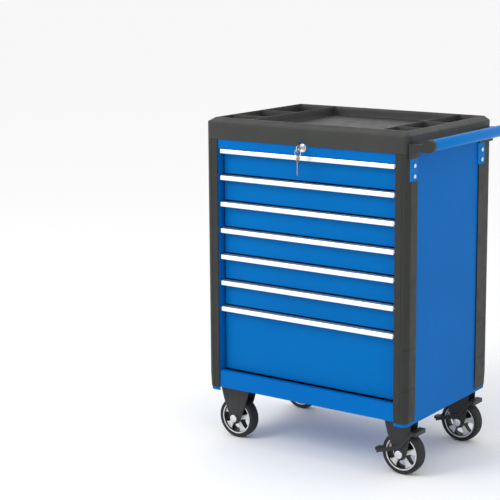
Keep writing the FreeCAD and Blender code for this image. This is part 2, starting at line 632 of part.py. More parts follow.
def key():
    """Key standing in the lock, its flat bow upright, with a hole for the ring."""
    bow = rod(KEY_BOW_RADIUS, KEY_THICK, vec(LOCK_X - KEY_THICK / 2, KEY_BOW_Y, LOCK_Z), ALONG_X)
    hole = rod(KEY_HOLE_RADIUS, 3 * KEY_THICK, vec(LOCK_X - 1.5 * KEY_THICK, RING_Y, LOCK_Z), ALONG_X)
    return fused(bow, key_blade()).cut(hole)


def key_ring():
    centre = vec(LOCK_X, RING_Y, RING_TOP_Z - RING_RADIUS)
    return Part.makeTorus(RING_RADIUS, RING_WIRE, centre, ALONG_Y)


def lock_bar():
    """Upright bar behind the drawers with a hook for each, and an arm forward beside the cam."""
    hook_end = HOOK_X + LOCK_SHIFT + LOCK_BAR_THICK
    low = front_low(DRAWER_COUNT)
    arm_low = LOCK_Z - PLUG_RADIUS
    arm_top = arm_low + ARM_OF_BAR_HEIGHT
    arm_start = ARM_OF_BAR_X - LOCK_BAR_THICK
    bar_rear = LOCK_BAR_Y + LOCK_BAR_THICK
    bar = block(hook_end - LOCK_BAR_WIDTH, hook_end, LOCK_BAR_Y, bar_rear, low, arm_top)
    head = block(arm_start, hook_end, LOCK_BAR_Y, bar_rear, arm_low, arm_top)
    arm = block(arm_start, ARM_OF_BAR_X, CAM_Y, bar_rear, arm_low, arm_top)
    pieces = []
    hook_y = BOX_REAR_Y + (CATCH_REACH - SHEET) / 2
    for index in range(1, DRAWER_COUNT + 1):
        hook_top = slide_z(index) - HOOK_GAP
        hook_low = hook_top - HOOK_HEIGHT
        pieces.append(block(HOOK_X, hook_end, hook_y, hook_y + LOCK_BAR_THICK, hook_low, hook_top))
        pieces.append(block(hook_end - LOCK_BAR_THICK, hook_end, hook_y, bar_rear, hook_low, hook_top))
    return fused(bar, head, arm, *pieces)


# ---- Casters -------------------------------------------------------------------
def caster_plate(cx, cy):
    """Bolted top plate of a caster."""
    half_x, half_y = CASTER_PLATE_X / 2, CASTER_PLATE_Y / 2
    plate = block(cx - half_x, cx + half_x, cy - half_y, cy + half_y, BASE_Z - CASTER_PLATE, BASE_Z)
    for x, y in caster_bolt_places():
        hole_start = vec(x, y, BASE_Z - 2 * CASTER_PLATE)
        plate = plate.cut(rod(CASTER_BOLT_RADIUS + BOLT_CLEARANCE, 3 * CASTER_PLATE, hole_start, ALONG_Z))
    return plate


def fork_leg(top_x0, top_x1, cy, axle_x, top_z, side):
    """Leg that narrows from the fork's top to a round foot at the axle."""
    y = cy + (LEG_INNER if side > 0 else -LEG_OUTER)
    outline = [
        vec(top_x0, y, top_z),
        vec(top_x1, y, top_z),
        vec(axle_x + FORK_FOOT_RADIUS, y, AXLE_Z),
        vec(axle_x - FORK_FOOT_RADIUS, y, AXLE_Z),
    ]
    foot = rod(FORK_FOOT_RADIUS, FORK_SHEET, vec(axle_x, y, AXLE_Z), ALONG_Y)
    leg = fused(prism(outline, vec(0, FORK_SHEET, 0)), foot)
    hole_start = vec(axle_x, y - FORK_SHEET, AXLE_Z)
    return leg.cut(rod(AXLE_RADIUS + AXLE_CLEARANCE, 3 * FORK_SHEET, hole_start, ALONG_Y))


def fixed_fork(cx, cy):
    x0, x1 = cx - FIXED_FORK_HALF, cx + FIXED_FORK_HALF
    legs = [fork_leg(x0, x1, cy, cx, BASE_Z - CASTER_PLATE, side) for side in (-1, 1)]
    return fused(caster_plate(cx, cy), *legs)


def swivel_plate(cx, cy):
    """Top plate with the upper race and the riveted kingpin."""
    race = rod(RACE_RADIUS, RACE_HEIGHT, vec(cx, cy, RACE_Z), ALONG_Z)
    pin_low = CROWN_Z - CROWN_HEIGHT - SWIVEL_GAP
    pin = rod(KINGPIN_RADIUS, BASE_Z - pin_low - CASTER_PLATE, vec(cx, cy, pin_low), ALONG_Z)
    head = rod(KINGPIN_HEAD_RADIUS, KINGPIN_HEAD, vec(cx, cy, pin_low - KINGPIN_HEAD), ALONG_Z)
    return fused(caster_plate(cx, cy), race, pin, head)


def swivel_fork(cx, cy):
    """Fork that turns under the plate and trails the wheel outwards."""
    axle_x = cx + CASTER_TRAIL
    x0, x1 = cx - SWIVEL_FORK_FORE, cx + SWIVEL_FORK_AFT
    legs = [fork_leg(x0, x1, cy, axle_x, CROWN_Z, side) for side in (-1, 1)]
    crown = rod(CROWN_RADIUS, CROWN_HEIGHT, vec(cx, cy, CROWN_Z - CROWN_HEIGHT), ALONG_Z)
    bridge = block(x0 + FORK_SHEET, x1 - FORK_SHEET, cy - LEG_OUTER, cy + LEG_OUTER,
                   CROWN_Z - FORK_SHEET, CROWN_Z)
    bore_start = vec(cx, cy, CROWN_Z - 2 * CROWN_HEIGHT)
    bore = rod(KINGPIN_RADIUS + AXLE_CLEARANCE, 3 * CROWN_HEIGHT, bore_start, ALONG_Z)
    studs = []
    for y in (cy - BRAKE_OUTER, cy + LEG_OUTER):
        stud_start = vec(axle_x, y, BRAKE_PIVOT_Z)
        studs.append(rod(BRAKE_STUD_RADIUS, BRAKE_OUTER - LEG_OUTER, stud_start, ALONG_Y))
    return fused(bridge, crown, *legs, *studs).cut(bore)


def brake_strap(axle_x, y):
    """Side strap of the brake lever, from its pedal past the pivot to its toe tab."""
    half = BRAKE_STRAP / 2
    pedal_x, tab_x = axle_x + BRAKE_PEDAL_X, axle_x - BRAKE_TAB_X
    outline = [
        vec(pedal_x, y, BRAKE_PEDAL_Z + half),
        vec(axle_x, y, BRAKE_PIVOT_Z + half),
        vec(tab_x, y, BRAKE_TAB_Z + half),
        vec(tab_x, y, BRAKE_TAB_Z - half / 2),
        vec(axle_x, y, BRAKE_PIVOT_Z - half),
        vec(pedal_x, y, BRAKE_PEDAL_Z - half),
    ]
    strap = prism(outline, vec(0, BRAKE_SHEET, 0))
    hole_start = vec(axle_x, y - BRAKE_SHEET, BRAKE_PIVOT_Z)
    return strap.cut(rod(BRAKE_STUD_RADIUS + AXLE_CLEARANCE, 3 * BRAKE_SHEET, hole_start, ALONG_Y))


def brake_lever(axle_x, cy):
    """Pressed lever that straddles a swivel caster's fork."""
    straps = [brake_strap(axle_x, cy - BRAKE_OUTER), brake_strap(axle_x, cy + BRAKE_INNER)]
    half = BRAKE_PEDAL_HEIGHT / 2
    pedal_x, tab_x = axle_x + BRAKE_PEDAL_X, axle_x - BRAKE_TAB_X
    pedal = block(pedal_x - BRAKE_SHEET, pedal_x - BRAKE_SHEET + BRAKE_PEDAL_LENGTH, cy - BRAKE_OUTER,
                  cy + BRAKE_OUTER, BRAKE_PEDAL_Z - half / 2, BRAKE_PEDAL_Z + half)
    yoke = block(tab_x - BRAKE_SHEET, tab_x, cy - BRAKE_OUTER, cy + BRAKE_OUTER,
                 BRAKE_TAB_Z - half / 2, BRAKE_TAB_Z + half)
    tab = block(tab_x - BRAKE_TAB_LENGTH, tab_x, cy - BRAKE_TAB_HALF_WIDTH, cy + BRAKE_TAB_HALF_WIDTH,
                BRAKE_TAB_Z - half / 2, BRAKE_TAB_Z + half / 2)
    return fused(pedal, yoke, tab, *straps)


def axle(axle_x, cy):
    """Axle bolt with a head at the front and a nut behind."""
    start = vec(axle_x, cy - LEG_OUTER, AXLE_Z)
    shank = rod(AXLE_RADIUS, 2 * LEG_OUTER, start, ALONG_Y)
    head = rod(AXLE_HEAD_RADIUS, AXLE_HEAD, start - vec(0, AXLE_HEAD, 0), ALONG_Y)
    nut = hex_head(AXLE_HEAD_RADIUS, AXLE_HEAD, vec(axle_x, cy + LEG_OUTER, AXLE_Z), ALONG_Y)
    return fused(shank, head, nut)


def tyre(axle_x, cy):
    start = vec(axle_x, cy - TYRE_WIDTH / 2, AXLE_Z)
    solid = rod(WHEEL_RADIUS, TYRE_WIDTH, start, ALONG_Y)
    shoulders = [edge for edge in solid.Edges if isinstance(edge.Curve, Part.Circle)]
    solid = solid.makeFillet(TYRE_SHOULDER, shoulders)
    return solid.cut(rod(RIM_RADIUS, TYRE_WIDTH, start, ALONG_Y))


def rim(axle_x, cy):
    """Wheel rim with a web pierced by five openings, and a bored hub."""
    def centred(radius, width):
        return rod(radius, width, vec(axle_x, cy - width / 2, AXLE_Z), ALONG_Y)

    edge = centred(RIM_RADIUS, RIM_WIDTH).cut(centred(RIM_RADIUS - RIM_EDGE, RIM_WIDTH))
    wheel = fused(edge, centred(RIM_RADIUS - RIM_EDGE, RIM_WEB), centred(HUB_RADIUS, HUB_WIDTH))
    for step in range(RIM_HOLES):
        angle = math.pi / 2 + step * 2 * math.pi / RIM_HOLES
        offset = vec(RIM_HOLE_CIRCLE * math.cos(angle), -RIM_WIDTH, RIM_HOLE_CIRCLE * math.sin(angle))
        wheel = wheel.cut(rod(RIM_HOLE_RADIUS, 2 * RIM_WIDTH, vec(axle_x, cy, AXLE_Z) + offset, ALONG_Y))
    return wheel.cut(centred(AXLE_RADIUS + AXLE_CLEARANCE, 2 * HUB_WIDTH))


def caster_bolt(x, y):
    head_top = BASE_Z - CASTER_PLATE
    head_start = vec(x, y, head_top - CASTER_BOLT_HEAD)
    head = hex_head(CASTER_BOLT_HEAD_RADIUS, CASTER_BOLT_HEAD, head_start, ALONG_Z)
    shank = rod(CASTER_BOLT_RADIUS, CASTER_PLATE + 4 * SHEET, vec(x, y, head_top), ALONG_Z)
    return fused(head, shank)


# ---- Write the nodes -----------------------------------------------------------
def write_cabinet():
    save("side_panel_left", mirrored_x(side_panel()))
    save("side_panel_right", side_panel_with_handle_holes())
    save("back_panel", back_panel())
    save("base_pan", base_pan())
    save("top_rail", top_rail())
    save("top_tray", top_tray())
    for side, side_name in ((-1, "left"), (1, "right")):
        for end, end_name in ((-1, "front"), (1, "rear")):
            save("corner_post_" + end_name + "_" + side_name, corner_post(side, end, side > 0))
    right_channels = [slide_channel(index) for index in range(1, DRAWER_COUNT + 1)]
    save("slide_channels", *right_channels, *[mirrored_x(channel) for channel in right_channels])


def write_drawers():
    for index in range(1, DRAWER_COUNT + 1):
        runner = drawer_runner(index)
        save("drawer_box_" + str(index), drawer_box(index))
        save("drawer_strip_" + str(index), drawer_strip(index))
        save("drawer_runners_" + str(index), runner, mirrored_x(runner))


def write_handle():
    save("handle_tube", handle_tube())
    save("handle_arms", handle_arm(-1), handle_arm(1))
    save("handle_plates", handle_plate(PLATE_FRONT_Y), handle_plate(PLATE_REAR_Y))
    save("handle_bolts", *[handle_bolt(y, z) for y, z in handle_bolt_places()])


def write_lock():
    save("lock_housing", lock_housing())
    save("lock_plug", lock_plug())
    save("key", key())
    save("key_ring", key_ring())
    save("lock_bar", lock_bar())


def write_casters():
    ends = ((-CASTER_Y, "front"), (CASTER_Y, "rear"))
    swivel_axle_x = SWIVEL_X + CASTER_TRAIL
    save("fixed_forks", *[fixed_fork(FIXED_X, cy) for cy, _ in ends])
    save("fixed_axles", *[axle(FIXED_X, cy) for cy, _ in ends])
    save("swivel_plates", *[swivel_plate(SWIVEL_X, cy) for cy, _ in ends])
    save("caster_bolts", *[caster_bolt(x, y) for x, y in caster_bolt_places()])
    for cy, name in ends:
        save("tyre_fixed_" + name, tyre(FIXED_X, cy))
        save("rim_fixed_" + name, rim(FIXED_X, cy))
        save("tyre_swivel_" + name, tyre(swivel_axle_x, cy))
        save("rim_swivel_" + name, rim(swivel_axle_x, cy))
        save("swivel_fork_" + name, swivel_fork(SWIVEL_X, cy))
        save("swivel_axle_" + name, axle(swivel_axle_x, cy))
        save("brake_lever_" + name, brake_lever(swivel_axle_x, cy))


os.makedirs("parts", exist_ok=True)
write_cabinet()
write_drawers()
write_handle()
write_lock()
write_casters()
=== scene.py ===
import json
import math

import bmesh
import bpy
import mathutils
import numpy as np
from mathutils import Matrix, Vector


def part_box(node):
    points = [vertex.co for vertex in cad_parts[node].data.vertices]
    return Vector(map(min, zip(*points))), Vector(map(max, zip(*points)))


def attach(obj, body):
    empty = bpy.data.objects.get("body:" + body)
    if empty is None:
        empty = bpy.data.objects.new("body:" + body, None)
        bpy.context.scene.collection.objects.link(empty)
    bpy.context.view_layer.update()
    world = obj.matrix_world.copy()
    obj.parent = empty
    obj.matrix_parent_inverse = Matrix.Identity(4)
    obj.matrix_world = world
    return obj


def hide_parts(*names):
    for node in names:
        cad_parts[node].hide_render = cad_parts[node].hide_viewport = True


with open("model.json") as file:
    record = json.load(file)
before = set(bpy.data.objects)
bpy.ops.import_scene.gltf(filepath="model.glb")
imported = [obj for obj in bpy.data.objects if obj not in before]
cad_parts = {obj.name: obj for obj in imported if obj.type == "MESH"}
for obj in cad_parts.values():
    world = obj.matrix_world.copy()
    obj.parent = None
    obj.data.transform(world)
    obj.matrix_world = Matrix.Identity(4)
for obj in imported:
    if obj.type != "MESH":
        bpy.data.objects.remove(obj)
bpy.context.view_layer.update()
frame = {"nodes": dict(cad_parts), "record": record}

bodies = frame["record"]["behaviour"]["bodies"]
body_of = {node: body for body, nodes in bodies.items() for node in nodes}


# ---- Corner posts ---------------------------------------------------------------
# Four long L-section covers, injection-moulded in black ABS with a fine grain. They
# clip over the folded steel corners; two pairs of shallow grooves mark the clips,
# and the right-hand ones are cut back at the top for the handle's plates.
def skin(name, *sheets, sharp=35.0):
    """One mesh from grids of points, each rows x columns x 3. Neighbours in a grid are
    joined by four-sided faces, grids that meet are welded, and faces point outwards."""
    faces, first = [], 0
    for sheet in sheets:
        rows, columns = sheet.shape[:2]
        index = first + np.arange(rows * columns).reshape(rows, columns)
        corners = (index[:-1, :-1], index[1:, :-1], index[1:, 1:], index[:-1, 1:])
        faces.append(np.stack(corners, -1).reshape(-1, 4))
        first += rows * columns
    points = np.concatenate([sheet.reshape(-1, 3) for sheet in sheets])
    mesh = bpy.data.meshes.new(name)
    mesh.from_pydata(points.tolist(), [], np.concatenate(faces).tolist())
    return finished_mesh(name, mesh, sharp)


def finished_mesh(name, mesh, sharp):
    """Object from a mesh, welded, turned outwards and shaded smooth up to an angle."""
    work = bmesh.new()
    work.from_mesh(mesh)
    bmesh.ops.remove_doubles(work, verts=work.verts, dist=2e-6)
    bmesh.ops.dissolve_degenerate(work, edges=work.edges, dist=1e-6)
    bmesh.ops.recalc_face_normals(work, faces=work.faces)
    work.to_mesh(mesh)
    work.free()
    mesh.polygons.foreach_set("use_smooth", np.ones(len(mesh.polygons), dtype=bool))
    mesh.set_sharp_from_angle(angle=math.radians(sharp))
    piece = bpy.data.objects.new(name, mesh)
    bpy.context.scene.collection.objects.link(piece)
    return piece


def fitted(piece, finish, *nodes):
    """Gives a piece its finish and puts it in the place of the CAD nodes it stands for."""
    piece.data.materials.clear()
    piece.data.materials.append(finish)
    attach(piece, body_of[nodes[0]])
    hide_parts(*nodes)
    return piece


def new_finish(name, colour, roughness, metallic=0.0):
    """Material with a colour, a roughness and nothing else yet."""
    material = bpy.data.materials.new(name)
    material.use_nodes = True
    shader = material.node_tree.nodes["Principled BSDF"]
    shader.inputs["Base Color"].default_value = (*colour, 1.0)
    shader.inputs["Roughness"].default_value = roughness
    shader.inputs["Metallic"].default_value = metallic
    return material, shader


def speckle(material, scale, detail=2.0, stretch=(1.0, 1.0, 1.0)):
    """Noise fixed to the piece, with so many spots to the metre along each axis."""
    nodes, links = material.node_tree.nodes, material.node_tree.links
    place = nodes.new("ShaderNodeTexCoord")
    mapping = nodes.new("ShaderNodeMapping")
    mapping.inputs["Scale"].default_value = stretch
    noise = nodes.new("ShaderNodeTexNoise")
    noise.inputs["Scale"].default_value = scale
    noise.inputs["Detail"].default_value = detail
    links.new(place.outputs["Object"], mapping.inputs["Vector"])
    links.new(mapping.outputs["Vector"], noise.inputs["Vector"])
    return noise.outputs["Fac"]


def varied(material, shader, socket, source, low, high):
    """Lets a noise move a socket between two values, or between two colours."""
    nodes, links = material.node_tree.nodes, material.node_tree.links
    if socket == "Base Color":
        ramp = nodes.new("ShaderNodeValToRGB")
        ramp.color_ramp.elements[0].position = 0.3
        ramp.color_ramp.elements[1].position = 0.7
        ramp.color_ramp.elements[0].color = (*low, 1.0)
        ramp.color_ramp.elements[1].color = (*high, 1.0)
        links.new(source, ramp.inputs["Fac"])
        links.new(ramp.outputs["Color"], shader.inputs[socket])
    else:
        span = nodes.new("ShaderNodeMapRange")
        span.inputs["From Min"].default_value = 0.3
        span.inputs["From Max"].default_value = 0.7
        span.inputs["To Min"].default_value = low
        span.inputs["To Max"].default_value = high
        links.new(source, span.inputs["Value"])
        links.new(span.outputs["Result"], shader.inputs[socket])


def embossed(material, shader, *layers):
    """Lays noises on the surface as relief; each layer is (noise, height in metres)."""
    nodes, links = material.node_tree.nodes, material.node_tree.links
    below = None
    for source, height in layers:
        bump = nodes.new("ShaderNodeBump")
        bump.inputs["Strength"].default_value = 1.0
        bump.inputs["Distance"].default_value = height
        links.new(source, bump.inputs["Height"])
        if below:
            links.new(below, bump.inputs["Normal"])
        below = bump.outputs["Normal"]
    links.new(below, shader.inputs["Normal"])


def moulded_black(name, dark, light, roughness):
    """Black ABS: spark-eroded grain a third of a millimetre across, slightly uneven sheen."""
    material, shader = new_finish(name, light, roughness)
    shader.inputs["Specular IOR Level"].default_value = 0.3
    varied(material, shader, "Base Color", speckle(material, 14.0, 4.0), dark, light)
    varied(material, shader, "Roughness", speckle(material, 35.0), roughness - 0.05, roughness + 0.08)
    embossed(material, shader, (speckle(material, 2600.0), 0.00007), (speckle(material, 120.0), 0.00004))
    return material


tray_low, tray_high = (np.array(corner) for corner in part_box("top_tray"))
cabinet_x, cabinet_y = (tray_low[:2] + tray_high[:2]) / 2
half_width, half_depth = (tray_high[:2] - tray_low[:2]) / 2
corner_radius = 0.020
post_skin = 0.0039
post_rim_chamfer = 0.0008
post_ridge_width = 0.0012
post_ridge_relief = 0.0007
post_foot_taper, post_foot_height = 0.0022, 0.04
post_groove_heights = (0.094, 0.100, 0.209, 0.215)
post_groove_half_width, post_groove_depth = 0.0012, 0.0009
plate_gap = 0.0003
post_black = moulded_black("post_black", (0.017, 0.019, 0.017), (0.022, 0.024, 0.021), 0.46)


def corner_post(name, side, end):
    """Skin of an L in plan, carried up the post. In plan a is the distance in from the side
    plane and b from the end plane. The outer line runs along the end wing, round a quarter
    circle and along the side wing; the inner line is the same, one skin further in. Near
    the foot, in the grooves and at both rims the outer line sinks by a function of height."""
    low, high = (np.array(corner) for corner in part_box(name))
    end_wing, side_wing = (high - low)[:2]
    chamfer = post_rim_chamfer
    turn = np.linspace(0, math.pi / 2, 15)
    ridge = corner_radius + post_ridge_width * np.array([1.0, 0.5, 0.0])
    wing_flat = np.linspace(end_wing - 0.004, ridge[0], 5)
    flat_a = np.concatenate([[end_wing, end_wing - chamfer], wing_flat, ridge[1:]])
    arc_a = corner_radius - corner_radius * np.sin(turn[1:-1])
    arc_b = corner_radius - corner_radius * np.cos(turn[1:-1])
    flat_b = np.concatenate([[corner_radius], np.linspace(corner_radius + 0.003, side_wing - 0.003, 6),
                             [side_wing - chamfer, side_wing]])
    a = np.concatenate([flat_a, arc_a, np.zeros(len(flat_b))])
    b = np.concatenate([np.zeros(len(flat_a)), arc_b, flat_b])
    inward_a = np.concatenate([np.zeros(len(flat_a)), np.sin(turn[1:-1]), np.ones(len(flat_b))])
    inward_b = np.concatenate([np.ones(len(flat_a)), np.cos(turn[1:-1]), np.zeros(len(flat_b))])
    sunk = np.zeros(len(a))
    sunk[[0, -1]] = chamfer
    sunk[len(flat_a) - 2] = post_ridge_relief

    foot, top = low[2], high[2]
    grooves = np.array(post_groove_heights) + foot
    levels = {foot, foot + chamfer, foot + post_foot_height / 2, foot + post_foot_height}
    levels |= {*np.linspace(foot + 0.25, top - 0.09, 12), top - 0.03, top - chamfer, top}
    for groove in grooves:
        levels |= {groove - post_groove_half_width, groove, groove + post_groove_half_width}
    rows = [(level, side_wing) for level in sorted(levels)]
    if side > 0:
        plate_low, plate_high = (np.array(corner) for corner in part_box("handle_plates"))
        cut = (plate_low[1] - low[1] if end < 0 else high[1] - plate_high[1]) - plate_gap
        notch = plate_low[2] - plate_gap
        rows = [(level, side_wing) for level in sorted(levels) if level < notch]
        rows += [(notch, side_wing), (notch, cut)]
        rows += [(level, cut) for level in sorted(levels) if level > notch]
    z = np.array([row[0] for row in rows])[:, None]
    reach = np.array([row[1] for row in rows])[:, None]
    taper = post_foot_taper * np.clip(1 - (z - foot) / post_foot_height, 0, 1)
    from_groove = np.abs(z - grooves).min(axis=1, keepdims=True)
    groove_depth = post_groove_depth * np.clip(1 - from_groove / post_groove_half_width, 0, 1)
    rim = chamfer * ((z <= foot) | (z >= top))
    depth = sunk + taper + groove_depth + rim

    def line(offset, radius):
        """Plan line sunk by an offset and ended where the wing is cut back."""
        line_a, line_b = a + inward_a * offset, b + inward_b * offset
        past = line_b > reach
        arc = corner_radius - np.sqrt(np.maximum(radius**2 - np.maximum(corner_radius - reach, 0) ** 2, 0))
        return np.where(past, np.maximum(arc, line_a.min()), line_a), np.minimum(line_b, reach)

    outer_a, outer_b = line(depth, corner_radius)
    inner_a, inner_b = line(np.full_like(depth, post_skin), corner_radius - post_skin)
    loop_a = np.concatenate([outer_a, inner_a[:, ::-1], outer_a[:, :1]], axis=1)
    loop_b = np.concatenate([outer_b, inner_b[:, ::-1], outer_b[:, :1]], axis=1)
    up = np.broadcast_to(z, loop_a.shape)
    x = cabinet_x + side * (half_width - loop_a)
    y = cabinet_y + end * (half_depth - loop_b)
    wall = np.stack([x, y, up], -1)
    count = len(a)
    caps = [np.stack([wall[row, :count], wall[row, 2 * count - 1:count - 1:-1]]) for row in (0, -1)]
    fitted(skin(name + "_cover", wall, *caps, sharp=28.0), post_black, name)


for side, side_name in ((-1, "left"), (1, "right")):
    for end, end_name in ((-1, "front"), (1, "rear")):
        corner_post("corner_post_" + end_name + "_" + side_name, side, end)


# ---- Top tray -------------------------------------------------------------------
# One large black ABS moulding that closes the cabinet: a deep fascia, wide sloping
# edges, a sunk work surface in the middle and three bins at each end. It drops over
# the steel shell and is screwed from below.
fascia_low, tray_top = tray_low[2], tray_high[2]
bevel_drop = 0.011
bevel_in = {"front": 0.028, "rear": 0.015, "side": 0.019}
plateau = np.array([[-half_width + bevel_in["side"], half_width - bevel_in["side"]],
                    [-half_depth + bevel_in["front"], half_depth - bevel_in["rear"]]])
lock_low, lock_high = (np.array(corner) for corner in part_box("lock_housing"))
lock_x, lock_z = (lock_low[0] + lock_high[0]) / 2, (lock_low[2] + lock_high[2]) / 2
notch_radius = 0.016
openings = {o["name"]: np.array(o["box_m"]) for o in frame["record"]["physics"]["openings"]}
bin_rows = ("front_bin", "middle_bin", "rear_bin")
wells = {"centre_tray": 0.027}
wells.update({side + row: 0.035 for side in ("left_", "right_") for row in bin_rows})
well_radius, well_wall, well_margin = 0.007, 0.0045, 0.001
tray_wall, tray_hem = 0.0022, 0.0008
tray_black = moulded_black("tray_black", (0.026, 0.028, 0.026), (0.033, 0.035, 0.032), 0.44)


def fine_lines(low, high, edges, coarse, reach=0.007, fine=0.0012):
    """Grid lines between two limits: close together near each edge, far apart elsewhere."""
    near = [edge + np.arange(-reach, reach, fine) for edge in edges]
    lines = np.unique(np.round(np.concatenate([np.arange(low, high, coarse), *near, [low, high]]), 5))
    lines = lines[(lines >= low) & (lines <= high)]
    keep = np.concatenate([[True], np.diff(lines) > 0.0004])
    keep[-1] = True
    return lines[keep]


def tray_height(x, y):
    """The flat top, sunk inside every well. Across a well's wall the depth follows a smooth
    step of the distance to the well's outline, a rectangle with rounded corners."""
    z = np.full(np.broadcast(x, y).shape, tray_top)
    for name, depth in wells.items():
        (x0, y0, _), (x1, y1, _) = openings[name] - [cabinet_x, cabinet_y, 0.0]
        over_x = np.abs(x - (x0 + x1) / 2) - (x1 - x0) / 2 + well_radius - well_margin
        over_y = np.abs(y - (y0 + y1) / 2) - (y1 - y0) / 2 + well_radius - well_margin
        outside = np.hypot(np.maximum(over_x, 0), np.maximum(over_y, 0))
        inside = well_radius - outside - np.minimum(np.maximum(over_x, over_y), 0)
        step = np.clip(inside / well_wall, 0, 1)
        z = z - depth * step**2 * (3 - 2 * step)
    return z


def top_tray():
    """Inside the plateau the height is a function of x and y on a grid. Round it, each point
    of the plateau's rim has a partner on the outer wall, and the sheet between them slopes
    down the bevel and then drops down the fascia, higher where the lock needs room."""
    local = [openings[name] - [cabinet_x, cabinet_y, 0.0] for name in wells]
    edges_x = [box[k][0] for box in local for k in (0, 1)]
    edges_y = [box[k][1] for box in local for k in (0, 1)]
    lock_at = lock_x - cabinet_x
    xs = fine_lines(*plateau[0], edges_x + [lock_at - 0.011, lock_at, lock_at + 0.011], 0.025)
    ys = fine_lines(*plateau[1], edges_y, 0.025)
    grid_x, grid_y = np.meshgrid(xs, ys, indexing="ij")
    top = np.stack([grid_x, grid_y, tray_height(grid_x, grid_y)], -1)

    swing = np.linspace(0, math.pi / 2, 11)[:, None]
    radius = corner_radius
    straight = [np.stack([xs, np.full(len(xs), plateau[1, 0])], -1),
                np.stack([np.full(len(ys), plateau[0, 1]), ys], -1),
                np.stack([xs[::-1], np.full(len(xs), plateau[1, 1])], -1),
                np.stack([np.full(len(ys), plateau[0, 0]), ys[::-1]], -1)]
    inner, outer = [], []
    normals = ((0, -1), (1, 0), (0, 1), (-1, 0))
    for k, (points, normal) in enumerate(zip(straight, normals)):
        normal = np.array(normal, float)
        along = np.array([-normal[1], normal[0]])
        spread = np.abs(along) @ [half_width - radius, half_depth - radius]
        share = (points @ along - (points[0] @ along)) / ((points[-1] - points[0]) @ along)
        wall = normal * (np.abs(normal) @ [half_width, half_depth])
        edge = wall + along * (np.clip(points @ along, -spread, spread))[:, None]
        edge[0] = wall - along * spread
        edge[-1] = wall + along * spread
        inner.append(points)
        outer.append(edge)
        centre = wall - normal * radius + along * spread
        inner.append(np.repeat(points[-1:], len(swing) - 2, axis=0))
        outer.append(centre + radius * (normal * np.cos(swing[1:-1]) + along * np.sin(swing[1:-1])))
    inner, outer = np.concatenate(inner), np.concatenate(outer)
    inner, outer = np.vstack([inner, inner[:1]]), np.vstack([outer, outer[:1]])

    shoulder = tray_top - bevel_drop
    room = notch_radius**2 - (outer[:, 0] - lock_at) ** 2
    hem = np.where((room > 0) & (outer[:, 1] < 0), lock_z + np.sqrt(np.maximum(room, 0)), fascia_low)
    hem = np.maximum(hem, fascia_low)
    edge_in = (inner - outer) / np.maximum(np.linalg.norm(inner - outer, axis=1, keepdims=True), 1e-9)
    rings = []
    for share, sink in ((1.0, 0.0), (0.93, 0.0002), (0.86, 0.0012)):
        z = tray_top - sink
        rings.append(np.column_stack([outer + (inner - outer) * share, np.full(len(outer), z)]))
    for share in (0.5, 0.14):
        z = tray_top - bevel_drop * (1 - share)
        rings.append(np.column_stack([outer + (inner - outer) * share, np.full(len(outer), z)]))
    for back, drop in ((0.0009, -0.0001), (0.0003, 0.0009), (0.0, 0.0022)):
        rings.append(np.column_stack([outer + edge_in * back, np.full(len(outer), shoulder - drop)]))
    for share in (0.5, 1.0):
        z = shoulder + (hem + tray_hem - shoulder) * share
        rings.append(np.column_stack([outer, z]))
    rings.append(np.column_stack([outer + edge_in * tray_hem, hem]))
    rings.append(np.column_stack([outer + edge_in * tray_wall, hem]))
    sheet = np.stack(rings)
    offset = np.array([cabinet_x, cabinet_y, 0.0])
    piece = skin("tray", top + offset, sheet + offset, sharp=40.0)
    wall = piece.modifiers.new("wall", "SOLIDIFY")
    wall.thickness = tray_wall
    wall.offset = -1.0
    fitted(piece, tray_black, "top_tray")


top_tray()


# ---- Cabinet shell --------------------------------------------------------------
# Folded sheet steel, spot-welded and powder-coated blue: two sides that wrap round
# into the front and rear columns, a back, a floor with the front rail, and the rail
# over the drawers. The coat is smooth with a faint orange-peel.
def powder_coat(name, shade, light, roughness):
    """Satin powder coat: a slow ripple a few millimetres across and a barely uneven gloss."""
    material, shader = new_finish(name, light, roughness)
    shader.inputs["Specular IOR Level"].default_value = 0.04
    varied(material, shader, "Base Color", speckle(material, 3.0, 3.0), shade, light)
    varied(material, shader, "Roughness", speckle(material, 60.0), roughness - 0.03, roughness + 0.05)
    embossed(material, shader, (speckle(material, 420.0), 0.00003), (speckle(material, 25.0), 0.00005))
    return material


def rounded_copy(node, finish, radius, segments=2):
    """The CAD piece with its edges rounded: its mesh copied, welded, its flat faces made
    whole again, and every edge sharper than thirty degrees given a small radius. Only
    facets under five square centimetres are shaded smooth, so that wide flats stay flat."""
    work = bmesh.new()
    work.from_mesh(frame["nodes"][node].data)
    bmesh.ops.remove_doubles(work, verts=work.verts, dist=1e-6)
    bmesh.ops.dissolve_limit(work, angle_limit=math.radians(0.4), verts=work.verts, edges=work.edges)
    mesh = bpy.data.meshes.new(node + "_shape")
    work.to_mesh(mesh)
    work.free()
    areas = np.empty(len(mesh.polygons))
    mesh.polygons.foreach_get("area", areas)
    mesh.polygons.foreach_set("use_smooth", areas < 0.0005)
    piece = bpy.data.objects.new(node + "_shape", mesh)
    bpy.context.scene.collection.objects.link(piece)
    edge = piece.modifiers.new("edge", "BEVEL")
    edge.width = radius
    edge.segments = segments
    edge.limit_method = "ANGLE"
    edge.angle_limit = math.radians(30)
    edge.harden_normals = True
    return fitted(piece, finish, node)


cabinet_blue = powder_coat("cabinet_blue", (0.0, 0.118, 0.415), (0.0, 0.132, 0.450), 0.40)
for node in ("side_panel_left", "side_panel_right", "back_panel", "base_pan", "top_rail"):
    rounded_copy(node, cabinet_blue, 0.0005)


